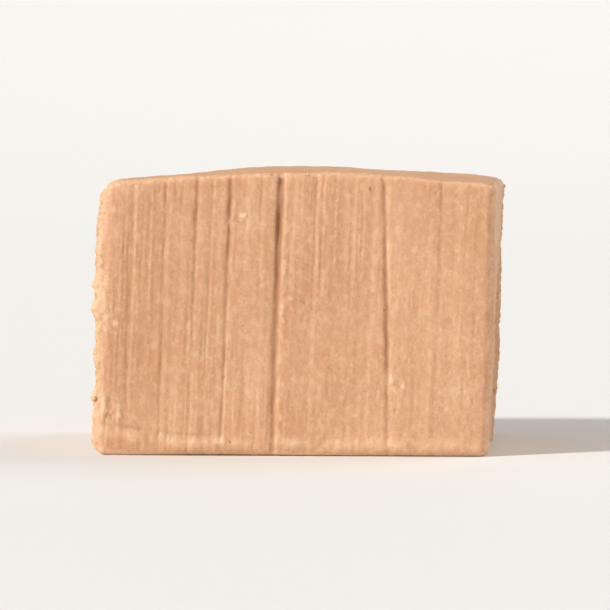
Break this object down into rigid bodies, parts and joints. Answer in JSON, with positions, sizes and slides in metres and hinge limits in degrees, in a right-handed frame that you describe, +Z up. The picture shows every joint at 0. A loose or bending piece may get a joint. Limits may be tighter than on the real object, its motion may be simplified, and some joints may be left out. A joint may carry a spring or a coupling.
{
  "type": "fudge cube",
  "caption": "Piece of toffee fudge cut from a poured slab: knife-marked front, torn and pitted sides, ragged left edge and a slightly domed top.",
  "frame": {"origin": "centre of the piece's bounding box, on the surface that it rests on", "axes": "+Z up, through the slab's poured top face; -Y out of the knife-cut front face; +X to the right as seen from the front"},
  "size_m": [0.0258, 0.0244, 0.0182],
  "materials": {
    "toffee_fudge": "satin where the knife smeared it, matt and finely grained where it tore"
  },
  "bodies": {
    "root": {"fudge_cube": "toffee_fudge"}
  },
  "joints": []
}
